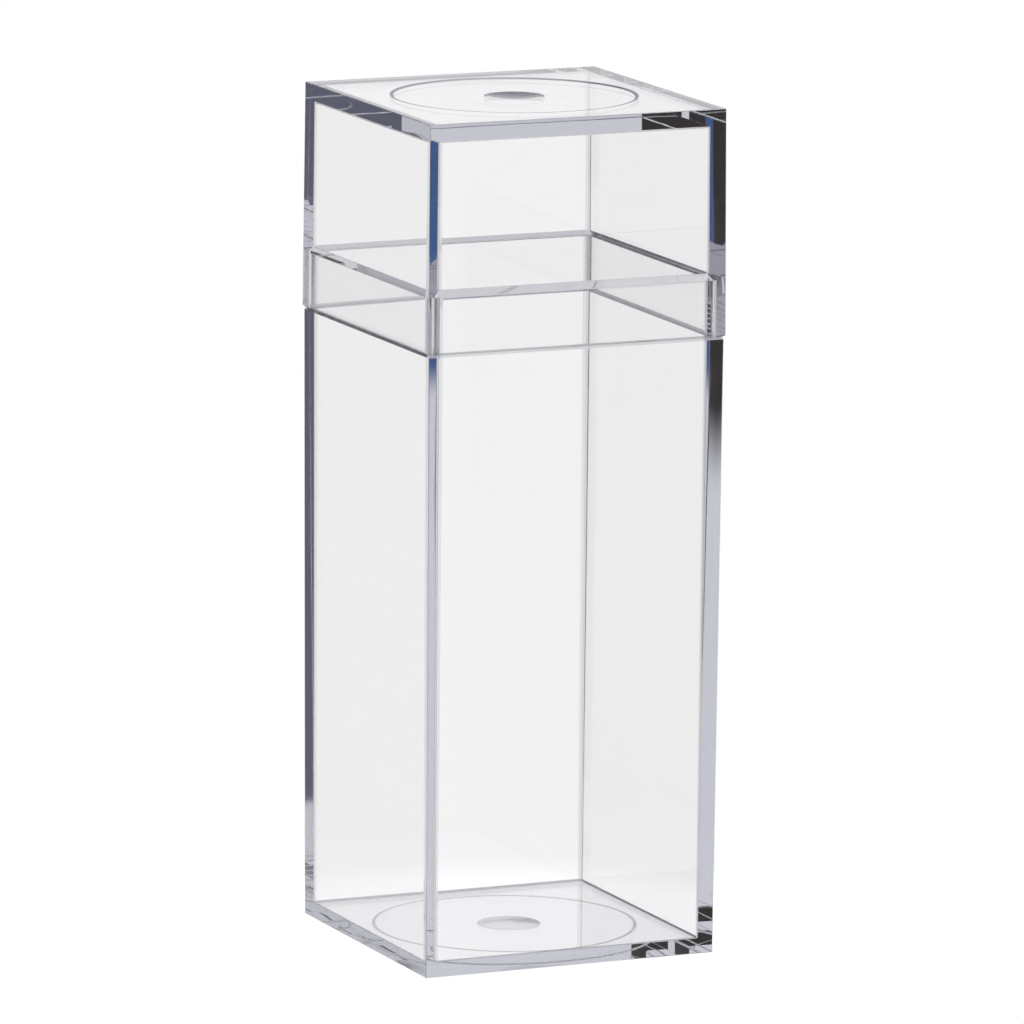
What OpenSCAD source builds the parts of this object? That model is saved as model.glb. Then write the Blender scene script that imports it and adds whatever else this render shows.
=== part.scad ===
// Clear storage box with a lift-off lid, both moulded in one clear plastic.
// The box stands on Z = 0, centred on the Z axis, with the lid seated on its shoulder.

/* [Box] */
// Outside width of the square box at its shoulder
box_w = 57; // [40:0.5:90]
// Height of the shoulder above the surface that the box stands on
box_h = 112; // [40:1:200]
// How far the outside of each wall draws in from the shoulder to the base
box_draft = 0.5; // [0:0.05:1]
// Thickness of the floor
floor_t = 2.4; // [1.5:0.1:5]

/* [Walls] */
// Thickness of the box and lid walls where they are full
wall = 2.3; // [1.9:0.1:4]
// How far each inside face of the box draws in from its rim to its floor
inside_draft = 0.35; // [0.05:0.05:0.8]
// Radius of the inside vertical corners at the closed end
corner_r = 0.7; // [0.4:0.1:2]
// Flat that eases the two sharp edges where lid and box meet
edge_ease = 0.35; // [0.1:0.05:0.5]

/* [Neck] */
// Height of the thin neck that stands above the shoulder inside the lid
neck_h = 10.5; // [5:0.5:25]
// Thickness of the neck's wall at the shoulder
neck_wall = 1.05; // [0.8:0.05:1.4]
// Radius of the neck's outside vertical corners
neck_corner_r = 1.1; // [0.6:0.1:2]
// Lead-in flat round the top of the neck
neck_lead = 0.3; // [0.1:0.05:0.5]
// Side clearance between the neck and the lid
fit_gap = 0.3; // [0.1:0.05:0.45]

/* [Lid] */
// Outside height of the lid
lid_h = 41; // [25:1:80]
// How far the lid's open end stands proud of the box on each side
lid_proud = 0.25; // [0:0.05:0.5]
// How far the outside of each lid wall draws in from its open end to its top
lid_draft = 0.25; // [0:0.05:0.6]
// Thickness of the lid's top plate
top_t = 3.3; // [2:0.1:6]
// How far each inside face of the lid draws in from its slope to its top
lid_inside_draft = 0.1; // [0:0.05:0.4]
// Free height left above the neck's rim, under the slope inside the lid
rim_gap = 0.25; // [0.15:0.05:3]

/* [Mould marks] */
// Least width of the flat left between the lid's edge and the round recess in its top
lid_border = 6.8; // [3:0.1:10]
// Radius of the gate dimple at the middle of the lid's top
lid_gate_r = 5.3; // [2:0.1:8]
// Least width of the flat left between the box's edge and the round recess under it
box_border = 5.2; // [3:0.1:10]
// Radius of the gate dimple at the middle of the box's underside
box_gate_r = 5.6; // [2:0.1:8]
// Depth of the two round recesses
ring_depth = 0.15; // [0.05:0.05:0.4]
// Depth of the two dished gate dimples below the recesses
gate_depth = 0.6; // [0.2:0.05:1]

/* [Hidden] */
$fn = 96;

// How far a cutting shape runs past the face it opens
past = 1;

// How far the lid's slope is cut past the lid's inside face, and the least corner radius at its top
slope_past = 0.1;
slope_corner_r = 0.05;

// Half widths of the outsides
box_top = box_w / 2;
box_base = box_top - box_draft;
lid_open = box_top + lid_proud;
lid_top = lid_open - lid_draft;

// Half widths of the insides: the box's inside is widest at its rim, the lid's at its slope
box_inside_rim = box_top - wall;
box_inside_floor = box_inside_rim - inside_draft;
lid_inside_top = lid_top - wall;
lid_inside_ledge = lid_inside_top + lid_inside_draft;

// The neck and the bore of the lid's skirt that slides over it
neck_half = box_inside_rim + neck_wall;
skirt_half = neck_half + fit_gap;
neck_arc = neck_half - neck_corner_r;

// The slope at 45 degrees that joins the bore to the lid's inside, clear of the rim's outer edge
slope = min(skirt_half - lid_inside_ledge + slope_past, skirt_half - neck_arc - slope_corner_r);
slope_rise = max(0, neck_half - neck_lead - (skirt_half - slope));

// Heights
rim_z = box_h + neck_h;
skirt_h = neck_h + rim_gap + slope_rise;
skirt_top_z = box_h + skirt_h;
total_h = box_h + lid_h;
ceiling_z = total_h - top_t;

// Points up one side of a block from its foot to its top, in X and Z, with either edge eased
function side_line(low, high, height, ease_low = 0, ease_high = 0) = concat(
    ease_low > 0 ? [[low - ease_low, 0], [low, ease_low]] : [[low, 0]],
    ease_high > 0 ? [[high, height - ease_high], [high - ease_high, height]] : [[high, height]]
);

// A bar along Y whose section is a side line and its mirror image
module bar(side, length) {
    mirrored = [for (i = [len(side) - 1:-1:0]) [-side[i].x, side[i].y]];
    rotate([90, 0, 0])
        linear_extrude(height = length, center = true)
            polygon(concat(side, mirrored));
}

// A square block with sharp vertical corners and the same side line on all four sides
module sharp_block(side) {
    length = 2 * max([for (point = side) point.x]) + 2 * past;
    intersection() {
        bar(side, length);
        rotate([0, 0, 90])
            bar(side, length);
    }
}

// The same with round vertical corners, whose arcs are centred this far from the middle planes
module round_block(side, arc_centre) {
    foot = side[0].y;
    top = side[len(side) - 1].y;
    corner = [for (point = side) [point.x - arc_centre, point.y]];
    for (turn = [0, 90])
        rotate([0, 0, turn])
            bar(side, 2 * arc_centre);
    for (quarter = [0:90:270])
        rotate([0, 0, quarter])
            translate([arc_centre, arc_centre, 0])
                rotate_extrude(angle = 90)
                    polygon(concat([[0, foot]], corner, [[0, top]]));
}

// A shallow round recess with a dished gate dimple at its middle, cut down from Z = 0
module mould_mark(ring_r, gate_r) {
    dish_r = (gate_r * gate_r + gate_depth * gate_depth) / (2 * gate_depth);
    translate([0, 0, -ring_depth]) {
        cylinder(h = ring_depth + past, r = ring_r);
        translate([0, 0, dish_r - gate_depth])
            sphere(r = dish_r);
    }
}

module neck() {
    translate([0, 0, floor_t])
        round_block(side_line(neck_half, neck_half, rim_z - floor_t, ease_high = neck_lead), neck_arc);
}

module box_inside() {
    translate([0, 0, floor_t])
        round_block(
            side_line(box_inside_floor, box_inside_rim, rim_z - floor_t + past),
            box_inside_floor - corner_r
        );
}

module box() {
    color([0.9, 0.93, 0.95, 0.35])
        difference() {
            union() {
                sharp_block(side_line(box_base, box_top, box_h, ease_high = edge_ease));
                neck();
            }
            box_inside();
            mirror([0, 0, 1])
                mould_mark(box_base - box_border, box_gate_r);
        }
}

// The wide bore of the skirt, which slides over the neck and slopes in above it
module skirt_bore() {
    translate([0, 0, box_h - past])
        round_block(side_line(skirt_half, skirt_half, skirt_h + past, ease_high = slope), neck_arc);
}

module lid_inside() {
    translate([0, 0, skirt_top_z - past])
        round_block(
            side_line(lid_inside_ledge, lid_inside_top, ceiling_z - skirt_top_z + past),
            lid_inside_top - corner_r
        );
}

module lid() {
    color([0.86, 0.9, 0.94, 0.35])
        difference() {
            translate([0, 0, box_h])
                sharp_block(side_line(lid_open, lid_top, lid_h, ease_low = edge_ease));
            skirt_bore();
            lid_inside();
            translate([0, 0, total_h])
                mould_mark(lid_top - lid_border, lid_gate_r);
        }
}

box();
lid();
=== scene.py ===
"""Looks of a clear storage box with a lift-off lid, both moulded in one clear plastic."""

import math

import bpy
import numpy as np
from mathutils import Matrix, Vector


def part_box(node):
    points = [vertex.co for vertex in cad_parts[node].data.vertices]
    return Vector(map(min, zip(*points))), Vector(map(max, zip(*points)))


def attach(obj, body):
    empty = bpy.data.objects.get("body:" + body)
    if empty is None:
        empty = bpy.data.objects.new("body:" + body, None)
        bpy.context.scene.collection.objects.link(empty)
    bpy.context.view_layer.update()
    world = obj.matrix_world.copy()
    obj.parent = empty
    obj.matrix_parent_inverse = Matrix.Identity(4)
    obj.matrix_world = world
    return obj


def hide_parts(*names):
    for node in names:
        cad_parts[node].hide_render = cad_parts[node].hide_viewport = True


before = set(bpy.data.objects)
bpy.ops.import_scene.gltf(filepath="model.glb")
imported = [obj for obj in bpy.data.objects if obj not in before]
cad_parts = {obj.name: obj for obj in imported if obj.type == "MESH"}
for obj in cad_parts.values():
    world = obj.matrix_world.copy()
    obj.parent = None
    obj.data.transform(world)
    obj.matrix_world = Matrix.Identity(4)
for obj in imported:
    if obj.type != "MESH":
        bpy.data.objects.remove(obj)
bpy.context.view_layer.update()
MM = 0.001

# Heights and half widths that the frame gives, in millimetres
box_high = np.array(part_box("box")[1]) / MM
lid_low, lid_high = (np.array(corner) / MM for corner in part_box("lid"))
SHOULDER_Z = lid_low[2]
RIM_Z = box_high[2]
TOP_Z = lid_high[2]
BOX_TOP = box_high[0]
LID_OPEN = lid_high[0]

# How far each face leans or draws in over its height
BOX_DRAFT = 0.5
INSIDE_DRAFT = 0.35
LID_DRAFT = 0.25
LID_INSIDE_DRAFT = 0.1

# Thicknesses, fits and the small flats where lid and box meet
WALL = 2.3
FLOOR_T = 2.4
TOP_T = 3.3
NECK_WALL = 1.05
NECK_ARC = 1.1
NECK_LEAD = 0.3
FIT_GAP = 0.3
RIM_GAP = 0.25
EDGE_EASE = 0.35
INSIDE_ARC = 0.7
SEAT_GAP = 0.06

# The round recess and the gate dimple in the lid's top and under the box
LID_BORDER = 6.8
LID_GATE_R = 5.3
BOX_BORDER = 5.2
BOX_GATE_R = 5.6
RING_DEPTH = 0.15
GATE_DEPTH = 0.6

# How round the small edges are: outside, at the foot of a wall, where faces meet, and at a recess
OUTER_EDGE_R = 0.16
FOOT_R = 0.25
TIGHT_R = 0.08
LIP_R = 0.07

# How far the painted shade of an edge fades out on a side next to it, how long a side must be for
# that, and the width of a ring's painted shade line
GREY_FADE = 0.1
LONG_SIDE = 1.2
RING_LINE = 0.2

# How strongly the small edges are darkened with painted shade, a grey that stands in for the dark
# room that refraction shows there, from 0 to 1
CRISP = 1.0
SOFT = 0.5
MARGIN = 0.4
FAINT = 0.22
PLAIN = 0.0

# Where along a corner arc its painted shade starts, and where its darker middle line lies, by the
# lesser part of the outward normal, and the most that an upright face leans, by the normal's part up
ENDS_OF_ARC = 0.01
MIDDLE_OF_ARC = 0.68
LEVEL = 0.5

# Facets round each corner arc, along each side, round each small edge and across each dimple
CORNER_STEPS = 16
SIDE_STEPS = 44
EDGE_STEPS = 6
DISH_STEPS = 16

# How far in from its ends a flat face has an extra row of points, and how much of the corner
# arcs' bend the directions of the round rings take up
INSET = 1
RING_BEND = 0.05


def around():
    """Directions once round a square with round corners, as three arrays of unit steps.

    A point of the loop is flat * (half width - arc) + bend * arc, where flat runs round the unit
    square and bend is the outward normal. ray is the unit vector from the middle to the same
    point, for rings that are circles.
    """
    side = np.tan(np.linspace(-math.pi / 4, math.pi / 4, SIDE_STEPS + 1)[1:-1])
    corner = np.linspace(0, math.pi / 2, CORNER_STEPS + 1)
    flat = np.concatenate([
        np.stack([np.ones_like(side), side], axis=1),
        np.ones((len(corner), 2)),
    ])
    bend = np.concatenate([
        np.stack([np.ones_like(side), np.zeros_like(side)], axis=1),
        np.stack([np.cos(corner), np.sin(corner)], axis=1),
    ])
    quarters = [np.array([[math.cos(a), math.sin(a)], [-math.sin(a), math.cos(a)]]).round()
                for a in np.arange(4) * math.pi / 2]
    flat = np.concatenate([flat @ turn for turn in quarters])
    bend = np.concatenate([bend @ turn for turn in quarters])
    ray = flat + bend * RING_BEND
    return flat, bend, ray / np.linalg.norm(ray, axis=1, keepdims=True)


def rounded(corners):
    """Rows along a profile whose corners are rounded, from its first corner to its last.

    Each corner is (half width, height, radius, arc centre, grey), where grey is the painted shade
    that its small edge takes and also frosts it. The arc that rounds it touches both of its sides, at
    radius * tan(half the turn) from the corner, and the normal turns evenly along it. A row holds the
    half width, height, arc centre, the normal's two parts and the painted shade, which is the
    corner's own along its arc. On a side longer than LONG_SIDE it fades out over GREY_FADE, and on a
    shorter one it runs on to the next corner.
    """
    points = np.array([corner[:2] for corner in corners], float)
    along = np.diff(points, axis=0)
    length = np.linalg.norm(along, axis=1)
    along /= length[:, None]
    rows = [[*points[0], corners[0][3], along[0][1], -along[0][0], PLAIN]]
    for i, (radius, centre, grey) in enumerate((corner[2:] for corner in corners[1:-1]), 1):
        point, before, after = points[i], along[i - 1], along[i]
        turn = math.atan2(before[0] * after[1] - before[1] * after[0], before @ after)
        reach = radius * math.tan(abs(turn) / 2)
        start = point - before * reach
        heading = math.atan2(before[1], before[0])
        hub = start + np.array([-before[1], before[0]]) * radius * np.sign(turn)
        if grey and length[i - 1] > LONG_SIDE:
            rows.append([*start - before * GREY_FADE, centre, before[1], -before[0], PLAIN])
        for part in np.linspace(0, turn, EDGE_STEPS + 1) if radius else [turn / 2]:
            normal = np.array([math.sin(heading + part), -math.cos(heading + part)])
            spot = hub + normal * radius * np.sign(turn)
            rows.append([*spot, centre, *normal, grey])
        if grey and length[i] > LONG_SIDE:
            rows.append([*point + after * (reach + GREY_FADE), centre, after[1], -after[0], PLAIN])
    rows.append([*points[-1], corners[-1][3], along[-1][1], -along[-1][0], PLAIN])
    return np.array(rows)


def dish(edge_r, z, side, grey):
    """Rows of a dished dimple from its middle to the flat round it, which is at height z.

    The dimple is the cap of a sphere, GATE_DEPTH deep, and its edge is rounded into the flat.
    side is 1 where it is cut from above, and grey is the painted shade across the dimple. Its rim
    takes CRISP painted shade.
    """
    ball = (edge_r ** 2 + GATE_DEPTH ** 2) / (2 * GATE_DEPTH)
    lean = np.linspace(0, math.asin(edge_r / ball), DISH_STEPS + 1)[:-1]
    out = ball * np.sin(lean)
    height = z + side * (ball - GATE_DEPTH - ball * np.cos(lean))
    cap = np.stack([out, height, np.full_like(out, math.nan), -np.sin(lean),
                    side * np.cos(lean), np.full_like(out, grey)], axis=1)
    edge = rounded([
        (out[-1], height[-1], 0, math.nan, grey),
        (edge_r, z, LIP_R, math.nan, CRISP),
        (edge_r + RING_LINE, z, 0, math.nan, PLAIN),
    ])
    edge[:, 3:5] *= 1 if side < 0 else -1
    return np.concatenate([cap, edge[1:]])


def single_ends(grid):
    """The grid's values as one list, where its first row and its last are one point each."""
    return np.concatenate([grid[0, :1], grid[1:-1].reshape(-1, grid.shape[2]), grid[-1, :1]])


def closed_faces(rings, count):
    """Faces from the first point to the first ring, from ring to ring, and to the last point."""
    here = np.arange(count)
    beside = (here + 1) % count
    low = 1 + np.arange(rings - 1)[:, None] * count
    high = low + count
    quads = np.stack([low + here, low + beside, high + beside, high + here], axis=2)
    end = 1 + rings * count
    last = end - count
    start_fan = np.stack([np.zeros_like(here), 1 + beside, 1 + here], axis=1)
    end_fan = np.stack([np.full_like(here, end), last + here, last + beside], axis=1)
    return start_fan.tolist() + quads.reshape(-1, 4).tolist() + end_fan.tolist()


def moulding(name, rows):
    """A closed mesh that carries a profile round the loop.

    The row's points are flat * centre + bend * (half width - centre), or ray * half width where
    the row has no arc centre. The two ends of the profile close at single points on the axis.
    A point attribute holds the row's grey, which is painted shade on the small edges and also frosts
    them. In the upright corner arcs it is at least MARGIN, and CRISP along the middle of the arc.
    """
    flat, bend, ray = around()
    half, z, centre, out, up, grey = (rows[:, i, None, None] for i in range(6))
    circle = np.isnan(centre)
    square = np.nan_to_num(centre)
    spots = np.where(circle, ray * half, flat * square + bend * (half - square))
    outward = np.where(circle, ray, bend) * out
    shape = (len(rows), len(flat), 1)
    points = single_ends(np.concatenate([spots, np.broadcast_to(z, shape)], axis=2))
    normals = single_ends(np.concatenate([outward, np.broadcast_to(up, shape)], axis=2))
    # Painted shade along the upright corner arcs, darkest along their middle
    turned = np.abs(bend).min(axis=1)[None, :, None]
    line = np.select([turned > MIDDLE_OF_ARC, turned > ENDS_OF_ARC], [CRISP, MARGIN], PLAIN)
    upright = (np.abs(up) < LEVEL) & ~circle
    painted_shades = single_ends(np.where(upright, np.maximum(grey, line), grey))

    mesh = bpy.data.meshes.new(name)
    mesh.from_pydata((points * MM).tolist(), [], closed_faces(len(rows) - 2, len(flat)))
    mesh.shade_smooth()
    mesh.normals_split_custom_set_from_vertices(normals.tolist())
    mesh.attributes.new("edge_painted_shade_and_frost", "FLOAT", "POINT").data.foreach_set("value", painted_shades[:, 0])
    mesh.update()
    piece = bpy.data.objects.new(name, mesh)
    bpy.context.scene.collection.objects.link(piece)
    return piece


def box_rows():
    """The box's profile, from the middle of its underside up its outside and down inside."""
    base = BOX_TOP - BOX_DRAFT
    inside_rim = BOX_TOP - WALL
    inside_floor = inside_rim - INSIDE_DRAFT
    neck = inside_rim + NECK_WALL
    inner = inside_floor - INSIDE_ARC
    outer = BOX_TOP - OUTER_EDGE_R
    lean = BOX_DRAFT * EDGE_EASE / SHOULDER_Z
    ring = base - BOX_BORDER
    circle = math.nan
    # Each corner's last value is the painted shade of its small edge
    return np.concatenate([
        dish(BOX_GATE_R, RING_DEPTH, -1, SOFT),
        rounded([
            (ring - 2 * RING_LINE, RING_DEPTH, 0, circle, PLAIN),
            (ring - RING_LINE, RING_DEPTH, 0, circle, CRISP),
            (ring, RING_DEPTH, LIP_R, circle, CRISP),
            (ring, 0, LIP_R, circle, CRISP),
            (ring + RING_LINE, 0, 0, circle, CRISP),
            (ring + 2 * RING_LINE, 0, 0, circle, PLAIN),
        ]),
        rounded([
            (base - INSET, 0, 0, base - 2 * INSET, PLAIN),
            (base, 0, OUTER_EDGE_R, base - OUTER_EDGE_R, PLAIN),
            (BOX_TOP - lean, SHOULDER_Z - EDGE_EASE, TIGHT_R, outer, SOFT),
            (BOX_TOP - EDGE_EASE, SHOULDER_Z, TIGHT_R, outer - EDGE_EASE + lean, SOFT),
            (neck, SHOULDER_Z, FOOT_R, neck - NECK_ARC, SOFT),
            (neck, RIM_Z - NECK_LEAD, TIGHT_R, neck - NECK_ARC, FAINT),
            (neck - NECK_LEAD, RIM_Z, TIGHT_R, neck - NECK_ARC, FAINT),
            (inside_rim, RIM_Z, TIGHT_R, inner, FAINT),
            (inside_floor, FLOOR_T, FOOT_R, inner, CRISP),
            (INSET, FLOOR_T, 0, INSET / 2, PLAIN),
            (0, FLOOR_T, 0, 0, PLAIN),
        ]),
    ])


def lid_rows():
    """The lid's profile, from the middle of its ceiling down its inside and up to its top."""
    low = SHOULDER_Z + SEAT_GAP
    top = LID_OPEN - LID_DRAFT
    ceiling_z = TOP_Z - TOP_T
    inside_top = top - WALL
    inside_ledge = inside_top + LID_INSIDE_DRAFT
    neck = BOX_TOP - WALL + NECK_WALL
    skirt = neck + FIT_GAP
    ledge_z = RIM_Z + RIM_GAP + neck - NECK_LEAD - inside_ledge
    inner = inside_top - INSIDE_ARC
    bore = neck - NECK_ARC
    lean = LID_DRAFT * EDGE_EASE / (TOP_Z - SHOULDER_Z)
    outer = LID_OPEN - OUTER_EDGE_R
    ring = top - LID_BORDER
    # Each corner's last value is the painted shade of its small edge
    circle = math.nan
    return np.concatenate([
        rounded([
            (0, ceiling_z, 0, 0, PLAIN),
            (INSET, ceiling_z, 0, INSET / 2, PLAIN),
            (inside_top, ceiling_z, FOOT_R, inner, SOFT),
            (inside_ledge, ledge_z, TIGHT_R, inner, SOFT),
            (skirt, ledge_z - (skirt - inside_ledge), TIGHT_R, bore, SOFT),
            (skirt, low, TIGHT_R, bore, SOFT),
            (LID_OPEN - EDGE_EASE, low, TIGHT_R, outer - EDGE_EASE + lean, SOFT),
            (LID_OPEN - lean, low + EDGE_EASE, TIGHT_R, outer, SOFT),
            (top, TOP_Z, OUTER_EDGE_R, top - OUTER_EDGE_R, PLAIN),
            (top - INSET, TOP_Z, 0, top - 2 * INSET, PLAIN),
        ]),
        rounded([
            (ring + 3 * RING_LINE, TOP_Z, 0, circle, PLAIN),
            (ring + 2 * RING_LINE, TOP_Z, 0, circle, CRISP),
            (ring, TOP_Z, LIP_R, circle, CRISP),
            (ring, TOP_Z - RING_DEPTH, LIP_R, circle, CRISP),
            (ring - RING_LINE, TOP_Z - RING_DEPTH, 0, circle, PLAIN),
        ]),
        dish(LID_GATE_R, TOP_Z - RING_DEPTH, 1, PLAIN)[::-1],
    ])


# How strongly the plastic bends light, and how rough it is where clean, where worn and at its edges
REFRACTIVE_INDEX = 1.49
CLEAN_ROUGHNESS = 0.0
WORN_ROUGHNESS = 0.07
EDGE_ROUGHNESS = 0.5

# What passes through the flat faces, through the small round edges (painted shade) and into the
# plastic's shadow
CLEAR = (1, 1, 1, 1)
EDGE_PAINTED_SHADE = (0.22, 0.21, 0.24, 1)
SHADOW_TINT = (0.93, 0.94, 0.95, 1)

# Light lost along the plastic, per metre, where the colour is what the loss spares
LOSS_DENSITY = 9.5
LOSS_COLOUR = (0.0, 0.03, 0.2, 1)

# The slow wave of the surface: its height in metres, how fine it is, and how far the flow draws it
WAVE_HEIGHT = 0.00002
WAVE_SCALE = 70
WAVE_FLOW = (1, 1, 0.3)

# Smudges of skin grease: how fine and how torn they are, the noise they show from and are full at,
# and how strong they are
SMUDGE_SCALE = 45
SMUDGE_DETAIL = 3
SMUDGE_SWIRL = 0.6
SMUDGE_EDGES = (0.52, 0.75)
SMUDGE_AMOUNT = 0.6

# Two sets of fine scratches: the turn and the fineness of each, how long they are drawn, the
# noise they show from and are full at, and how strong they are
SCRATCH_SETS = ((0.4, 2600), (-0.9, 3400))
SCRATCH_LENGTH = 30
SCRATCH_EDGES = (0.71, 0.78)
SCRATCH_AMOUNT = 0.8


def node(tree, kind, links=None, **settings):
    """A new node of this kind, with its settings, and with its inputs linked or set by name."""
    made = tree.nodes.new("ShaderNode" + kind)
    for name, value in settings.items():
        setattr(made, name, value)
    for name, value in (links or {}).items():
        socket = made.inputs[name]
        if isinstance(value, bpy.types.NodeSocket):
            tree.links.new(value, socket)
        else:
            socket.default_value = value
    return made


def math_node(tree, operation, *values):
    """The output of a maths node on these values or sockets."""
    made = node(tree, "Math", dict(enumerate(values)), operation=operation)
    return made.outputs[0]


def smooth_step(tree, value, low, high):
    """The output of a smooth step from 0 to 1 as the value goes from low to high."""
    made = node(tree, "MapRange", {"Value": value, "From Min": low, "From Max": high},
                interpolation_type="SMOOTHSTEP")
    return made.outputs["Result"]


def colour_mix(tree, factor, low, high):
    """The output of a mix from the low colour to the high one by the factor."""
    made = node(tree, "Mix", data_type="RGBA")
    for name, value in (("Factor_Float", factor), ("A_Color", low), ("B_Color", high)):
        socket = next(item for item in made.inputs if item.identifier == name)
        if isinstance(value, bpy.types.NodeSocket):
            tree.links.new(value, socket)
        else:
            socket.default_value = value
    return next(item for item in made.outputs if item.identifier == "Result_Color")


def handling_marks():
    """Node group: where the clear plastic is worn, and how its moulded surface waves.

    Worn is broad smudges of skin grease plus fine straight scratches, which are a noise drawn
    out along one direction and cut off high. Height is a slow wave drawn out along the flow of
    the melt, which ran down the walls from the gate.
    """
    group = bpy.data.node_groups.new("handling_marks", "ShaderNodeTree")
    for name in ("Smudges", "Scratches"):
        group.interface.new_socket(name, in_out="INPUT", socket_type="NodeSocketFloat")
    for name in ("Worn", "Height"):
        group.interface.new_socket(name, in_out="OUTPUT", socket_type="NodeSocketFloat")
    given = group.nodes.new("NodeGroupInput")
    put_out = group.nodes.new("NodeGroupOutput")
    place = node(group, "TexCoord").outputs["Object"]

    smudge = node(group, "TexNoise", {
        "Vector": place, "Scale": SMUDGE_SCALE, "Detail": SMUDGE_DETAIL, "Distortion": SMUDGE_SWIRL,
    })
    smudge = smooth_step(group, smudge.outputs["Fac"], *SMUDGE_EDGES)
    lines = 0
    for angle, across in SCRATCH_SETS:
        turned = node(group, "Mapping", {
            "Vector": place,
            "Rotation": (angle, angle, angle),
            "Scale": (across, SCRATCH_LENGTH, SCRATCH_LENGTH),
        })
        streak = node(group, "TexNoise", {"Vector": turned.outputs[0], "Scale": 1, "Detail": 1})
        streak = smooth_step(group, streak.outputs["Fac"], *SCRATCH_EDGES)
        lines = math_node(group, "ADD", lines, streak)
    worn = math_node(group, "MULTIPLY", smudge, given.outputs["Smudges"])
    scratched = math_node(group, "MULTIPLY", lines, given.outputs["Scratches"])
    both = math_node(group, "MAXIMUM", worn, scratched)
    group.links.new(both, put_out.inputs["Worn"])

    flow = node(group, "Mapping", {"Vector": place, "Scale": WAVE_FLOW})
    wave = node(group, "TexNoise", {"Vector": flow.outputs[0], "Scale": WAVE_SCALE, "Detail": 1})
    group.links.new(wave.outputs["Fac"], put_out.inputs["Height"])
    return group


def clear_plastic(marks):
    """Water-white moulded plastic: a clear solid with a slight bluish loss along its length.

    Its small edges are frosted, and tinted grey as painted shade that stands in for the dark room
    that refraction shows there, by the mesh's edge attribute. Light passes into its shadow, so that
    the floor under it stays pale.
    """
    material = bpy.data.materials.new("clear_plastic")
    material.use_nodes = True
    tree = material.node_tree
    shader = tree.nodes["Principled BSDF"]
    # The grey base colour on the small edges is painted shade
    edge = node(tree, "Attribute", attribute_name="edge_painted_shade_and_frost").outputs["Fac"]
    tree.links.new(colour_mix(tree, edge, CLEAR, EDGE_PAINTED_SHADE), shader.inputs["Base Color"])
    shader.inputs["IOR"].default_value = REFRACTIVE_INDEX
    shader.inputs["Transmission Weight"].default_value = 1
    worn = tree.nodes.new("ShaderNodeGroup")
    worn.node_tree = marks
    worn.inputs["Smudges"].default_value = SMUDGE_AMOUNT
    worn.inputs["Scratches"].default_value = SCRATCH_AMOUNT
    roughness = node(tree, "MapRange", {
        "Value": worn.outputs["Worn"], "To Min": CLEAN_ROUGHNESS, "To Max": WORN_ROUGHNESS,
    })
    frosted = math_node(tree, "MULTIPLY", edge, EDGE_ROUGHNESS)
    rough = math_node(tree, "MAXIMUM", roughness.outputs["Result"], frosted)
    tree.links.new(rough, shader.inputs["Roughness"])
    bump = node(tree, "Bump", {"Height": worn.outputs["Height"], "Distance": WAVE_HEIGHT})
    tree.links.new(bump.outputs["Normal"], shader.inputs["Normal"])

    path = node(tree, "LightPath")
    clear = node(tree, "BsdfTransparent", {"Color": SHADOW_TINT})
    mixed = node(tree, "MixShader", {
        0: path.outputs["Is Shadow Ray"], 1: shader.outputs["BSDF"], 2: clear.outputs[0],
    })
    output = tree.nodes["Material Output"]
    tree.links.new(mixed.outputs[0], output.inputs["Surface"])
    loss = node(tree, "VolumeAbsorption", {"Color": LOSS_COLOUR, "Density": LOSS_DENSITY})
    tree.links.new(loss.outputs[0], output.inputs["Volume"])
    return material


# Light Path's count of mirrored turns lies past these after one turn, after two and after five
ONE_TURN = 0.5
TWO_TURNS = 1.5
FIVE_TURNS = 4.5

# Which way the white wall behind the box lies, and how directly light must head there to meet it
BACKDROP_AZIMUTH = math.radians(24)
BACKDROP_EDGES = (0.72, 0.86)

# How steeply light must rise to meet the window at the right, the lamp, the grey above the wall
# and, straight through the plastic, the grey up there
WINDOW_EDGES = (0.18, 0.22)
LAMP_EDGES = (0.4, 0.7)
UPPER_EDGES = (0.22, 0.36)
THROUGH_EDGES = (0.2, 0.34)

# How steeply light must rise or fall after its first turn to show what is above
STEEP_EDGES = (0.27, 0.4)

# Where the left of the room gives way to the right, and its front to the grey above the wall
SIDE_EDGES = (-0.2, 0.2)
UPPER_FRONT = (-0.6, 0.2)

# What the room shows past one turn, after the first turn, and straight through the plastic
WHITE = (1, 1, 1, 1)
LEFT_DARK = (0.03, 0.022, 0.02, 1)
RIGHT_DARK = (0.03, 0.035, 0.12, 1)
UPPER_GREY = (0.5, 0.49, 0.52, 1)
FIRST_BEHIND = (0.93, 0.92, 0.93, 1)
FIRST_ASIDE = (0.5, 0.49, 0.5, 1)
FIRST_ABOVE = (0.85, 0.83, 0.87, 1)
THROUGH_GREY = (0.6, 0.58, 0.62, 1)


def room_past_one_turn(tree, way, ahead):
    """The room as it is: a white wall behind the box, dark sides and front, and grey above.

    The right side has a window above it, and the lamp is overhead.
    """
    right = colour_mix(tree, smooth_step(tree, way["Z"], *WINDOW_EDGES), RIGHT_DARK, WHITE)
    sides = colour_mix(tree, smooth_step(tree, way["X"], *SIDE_EDGES), LEFT_DARK, right)
    room = colour_mix(tree, smooth_step(tree, ahead, *BACKDROP_EDGES), sides, WHITE)
    above = math_node(tree, "MULTIPLY", smooth_step(tree, way["Z"], *UPPER_EDGES),
                      smooth_step(tree, ahead, *UPPER_FRONT))
    room = colour_mix(tree, above, room, UPPER_GREY)
    return colour_mix(tree, smooth_step(tree, way["Z"], *LAMP_EDGES), room, WHITE)


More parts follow.
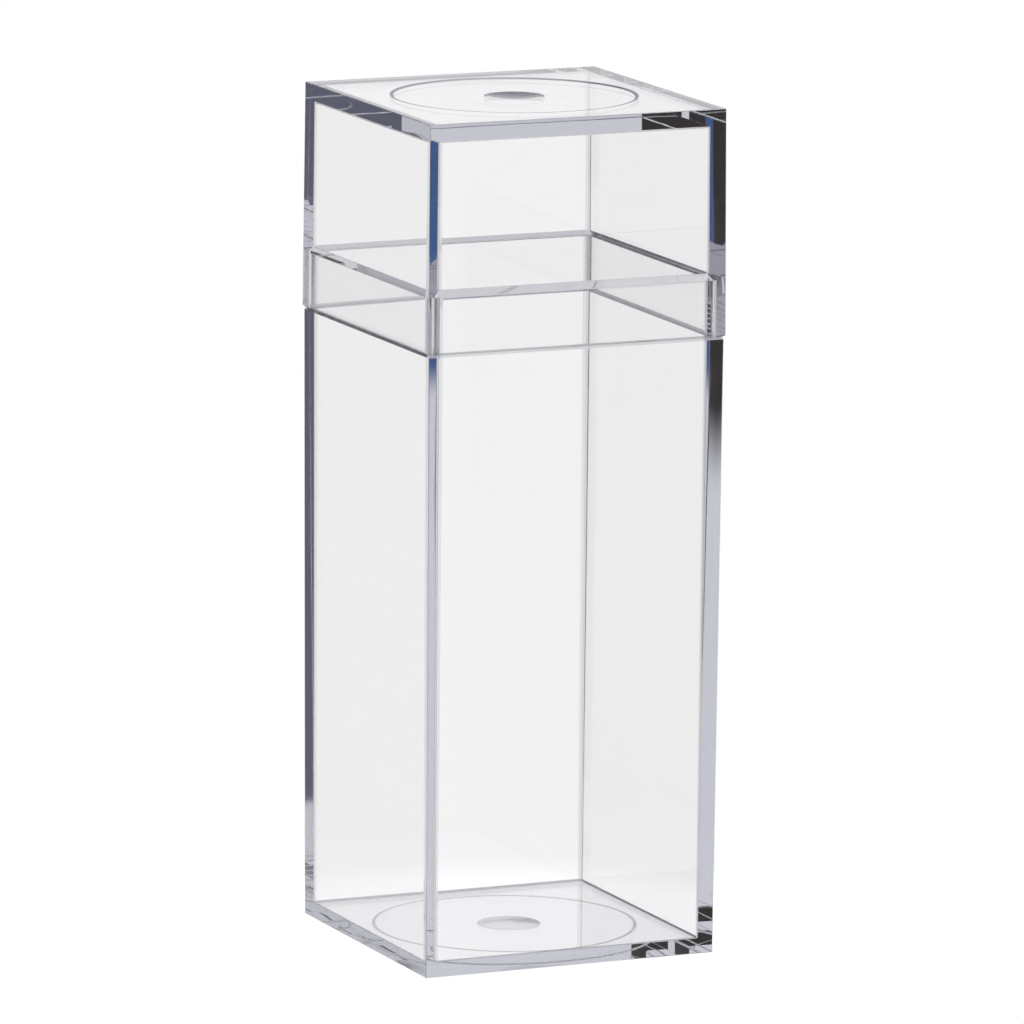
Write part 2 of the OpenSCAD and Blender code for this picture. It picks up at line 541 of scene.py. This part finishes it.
def room_after_one_turn(tree, way, ahead):
    """The room in the panels' own faint mirror images: pale behind and above, grey at the sides."""
    steep = smooth_step(tree, math_node(tree, "ABSOLUTE", way["Z"]), *STEEP_EDGES)
    behind = smooth_step(tree, ahead, *BACKDROP_EDGES)
    level = colour_mix(tree, behind, FIRST_ASIDE, FIRST_BEHIND)
    return colour_mix(tree, steep, level, FIRST_ABOVE)


def studio():
    """The room: plain white to the camera, and white with grey above straight through the plastic.

    After a mirrored turn inside the plastic, or more than one, it is what the two functions above
    give by direction.
    """
    world = bpy.data.worlds.new("studio")
    bpy.context.scene.world = world
    world.use_nodes = True
    tree = world.node_tree
    path = node(tree, "LightPath").outputs
    way = node(tree, "SeparateXYZ", {0: node(tree, "TexCoord").outputs["Generated"]}).outputs
    ahead = math_node(tree, "ADD",
                      math_node(tree, "MULTIPLY", way["X"], math.sin(BACKDROP_AZIMUTH)),
                      math_node(tree, "MULTIPLY", way["Y"], math.cos(BACKDROP_AZIMUTH)))
    room = room_past_one_turn(tree, way, ahead)
    once = room_after_one_turn(tree, way, ahead)
    through = colour_mix(tree, smooth_step(tree, way["Z"], *THROUGH_EDGES), WHITE, THROUGH_GREY)

    up_to_one = math_node(tree, "LESS_THAN", path["Glossy Depth"], TWO_TURNS)
    no_turn = math_node(tree, "LESS_THAN", path["Glossy Depth"], ONE_TURN)
    mirrored = math_node(tree, "MULTIPLY", up_to_one, path["Is Glossy Ray"])
    passed = math_node(tree, "MULTIPLY", path["Is Transmission Ray"], up_to_one)
    straight = math_node(tree, "MULTIPLY", path["Is Transmission Ray"], no_turn)
    shown = colour_mix(tree, mirrored, room, once)
    shown = colour_mix(tree, passed, shown, once)
    shown = colour_mix(tree, straight, shown, through)
    shown = colour_mix(tree, path["Is Camera Ray"], shown, WHITE)
    tree.links.new(shown, tree.nodes["Background"].inputs["Color"])


# The pale floor, in millimetres: how far it reaches and how far below the box it lies
FLOOR_REACH = 3000
FLOOR_GAP = 0.1

# How much of the lamp's light it gives back, how strongly it is self-lit, and the distances from
# the box's middle over which it turns plain white
FLOOR_DIFFUSE = 0.4
FLOOR_GLOW = 0.69
PLAIN_FROM = 36
PLAIN_TO = 70

# Painted reflections, which the floor shows only after one mirrored turn inside the plastic: at the
# left, at the right and under the box, and the multiples of the box's half width over which that
# last colour fades out
FIRST_LEFT = (0.66, 0.65, 0.66, 1)
FIRST_RIGHT = (0.56, 0.55, 0.56, 1)
UNDER_BOX = (0.75, 0.74, 0.76, 1)
UNDER_FADE = (0.9, 1.3)

# Painted reflections past one turn: the lines at the left and front past which the floor shows
# light mirrored inside the plastic as dark instead of white, how soft each is, and how softly the
# left of the floor gives way to the right, in millimetres
WHITE_LEFT = -190
WHITE_FRONT = -34
LEFT_SOFTNESS = 30
FRONT_SOFTNESS = 7.5
SIDE_SOFTNESS = 100

# Past four turns, light shows it as dark blue from this far away, in millimetres, a painted reflection
FAR_BLUE = (0.06, 0.14, 0.36, 1)
BLUE_FROM = 600
BLUE_FULL = 660


def floor_past_one_turn(tree, place, across, far_blue):
    """Painted reflection: white to the left and front lines, dark past them, blue where far_blue is 1.
    """
    left = smooth_step(tree, place["X"], (WHITE_LEFT - LEFT_SOFTNESS) * MM,
                       (WHITE_LEFT + LEFT_SOFTNESS) * MM)
    front = smooth_step(tree, place["Y"], (WHITE_FRONT - FRONT_SOFTNESS) * MM, WHITE_FRONT * MM)
    white = colour_mix(tree, far_blue, WHITE, FAR_BLUE)
    dark = colour_mix(tree, across, LEFT_DARK, RIGHT_DARK)
    return colour_mix(tree, math_node(tree, "MULTIPLY", left, front), dark, white)


def floor_after_one_turn(tree, place, across):
    """Painted reflection: grey at the left and right of the box, and paler under it."""
    widest = math_node(tree, "MAXIMUM", math_node(tree, "ABSOLUTE", place["X"]),
                       math_node(tree, "ABSOLUTE", place["Y"]))
    outside = smooth_step(tree, widest, *(BOX_TOP * MM * part for part in UNDER_FADE))
    return colour_mix(tree, outside, UNDER_BOX, colour_mix(tree, across, FIRST_LEFT, FIRST_RIGHT))


def pale_floor():
    """The floor's material: plain and pale, and self-lit enough to stay white under the clear box.

    After a mirrored turn inside the plastic, or more than one, it shows what the two functions
    above give by place: painted reflections, a glow that only light mirrored in the plastic sees.
    """
    material = bpy.data.materials.new("pale_floor")
    material.use_nodes = True
    tree = material.node_tree
    shader = tree.nodes["Principled BSDF"]
    shader.inputs["Base Color"].default_value = (FLOOR_DIFFUSE,) * 3 + (1,)
    shader.inputs["Roughness"].default_value = 1
    shader.inputs["Specular IOR Level"].default_value = 0
    shader.inputs["Emission Color"].default_value = WHITE
    shader.inputs["Emission Strength"].default_value = FLOOR_GLOW

    spot = node(tree, "TexCoord").outputs["Object"]
    away = node(tree, "VectorMath", {0: spot}, operation="LENGTH").outputs["Value"]
    place = node(tree, "SeparateXYZ", {0: spot}).outputs
    across = smooth_step(tree, place["X"], -SIDE_SOFTNESS * MM, SIDE_SOFTNESS * MM)
    turns = node(tree, "LightPath").outputs["Glossy Depth"]
    once, twice, often = (math_node(tree, "GREATER_THAN", turns, count)
                          for count in (ONE_TURN, TWO_TURNS, FIVE_TURNS))
    far_blue = math_node(tree, "MULTIPLY", often,
                         smooth_step(tree, away, BLUE_FROM * MM, BLUE_FULL * MM))
    # Painted reflections: glow shown only to light that has mirrored inside the plastic
    after_one = node(tree, "Emission", {"Color": floor_after_one_turn(tree, place, across)})
    past_one = node(tree, "Emission", {"Color": floor_past_one_turn(tree, place, across, far_blue)})
    plain = node(tree, "Emission", {"Color": WHITE})
    far = smooth_step(tree, away, PLAIN_FROM * MM, PLAIN_TO * MM)
    mixed = node(tree, "MixShader", {0: far, 1: shader.outputs["BSDF"], 2: plain.outputs[0]})
    mixed = node(tree, "MixShader", {0: once, 1: mixed.outputs[0], 2: after_one.outputs[0]})
    mixed = node(tree, "MixShader", {0: twice, 1: mixed.outputs[0], 2: past_one.outputs[0]})
    tree.links.new(mixed.outputs[0], tree.nodes["Material Output"].inputs["Surface"])
    return material


def floor():
    """The floor: a wide square just under the box."""
    reach = FLOOR_REACH * MM
    mesh = bpy.data.meshes.new("floor")
    corners = [(-reach, -reach), (reach, -reach), (reach, reach), (-reach, reach)]
    mesh.from_pydata([(x, y, -FLOOR_GAP * MM) for x, y in corners], [], [(0, 1, 2, 3)])
    mesh.materials.append(pale_floor())
    item = bpy.data.objects.new("floor", mesh)
    bpy.context.scene.collection.objects.link(item)


# Height of the point on the box's axis that the lamp and the camera turn to, in millimetres
AIM_Z = 76.46


def lamp(name, azimuth, elevation, distance, size, watts):
    """A soft square lamp that faces the box from this direction, in degrees, metres and watts."""
    azimuth, elevation = math.radians(azimuth), math.radians(elevation)
    towards = Vector((
        math.sin(azimuth) * math.cos(elevation),
        math.cos(azimuth) * math.cos(elevation),
        math.sin(elevation),
    ))
    data = bpy.data.lights.new(name, "AREA")
    data.shape = "SQUARE"
    data.size = size
    data.energy = watts
    item = bpy.data.objects.new(name, data)
    item.visible_glossy = False
    item.visible_transmission = False
    item.location = towards * distance + Vector((0, 0, AIM_Z * MM))
    item.rotation_euler = towards.to_track_quat("Z", "Y").to_euler()
    bpy.context.scene.collection.objects.link(item)


# The camera: its turn round the box, its rise and its tilt, and how far back, right and up of that
# point it stands, in millimetres
YAW = math.radians(-23.802)
PITCH = math.radians(10.5586)
ROLL = math.radians(0.4982)
DISTANCE = 1817.42
AIM_RIGHT = 0.248
AIM_UP = 0.9206

# Its focal length and the picture's width, both in pixels, and its sensor's width in millimetres
FOCAL_PX = 10120.8
IMAGE_PX = 1024
SENSOR = 36


def camera():
    """The camera, DISTANCE back from its aim along the line that YAW and PITCH give."""
    back = Vector((math.sin(YAW) * math.cos(PITCH), -math.cos(YAW) * math.cos(PITCH), math.sin(PITCH)))
    level = Vector((math.cos(YAW), math.sin(YAW), 0))
    upright = back.cross(level)
    right = math.cos(ROLL) * level + math.sin(ROLL) * upright
    up = math.cos(ROLL) * upright - math.sin(ROLL) * level
    eye = Vector((0, 0, AIM_Z)) + AIM_RIGHT * right + AIM_UP * up + DISTANCE * back
    data = bpy.data.cameras.new("camera")
    data.sensor_width = SENSOR
    data.lens = FOCAL_PX / IMAGE_PX * SENSOR
    item = bpy.data.objects.new("camera", data)
    item.matrix_world = Matrix.Translation(eye * MM) @ Matrix((right, up, back)).transposed().to_4x4()
    bpy.context.scene.collection.objects.link(item)
    bpy.context.scene.camera = item


camera()
studio()
floor()
lamp("overhead_lamp", azimuth=40, elevation=75, distance=1.2, size=0.9, watts=8)
plastic = clear_plastic(handling_marks())
for name, rows in (("box", box_rows()), ("lid", lid_rows())):
    piece = moulding(name + "_moulding", rows)
    piece.data.materials.append(plastic)
    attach(piece, name)
    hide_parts(name)

scene = bpy.context.scene
scene.view_settings.view_transform = "Standard"
scene.cycles.max_bounces = 64
scene.cycles.glossy_bounces = 48
scene.cycles.transmission_bounces = 48
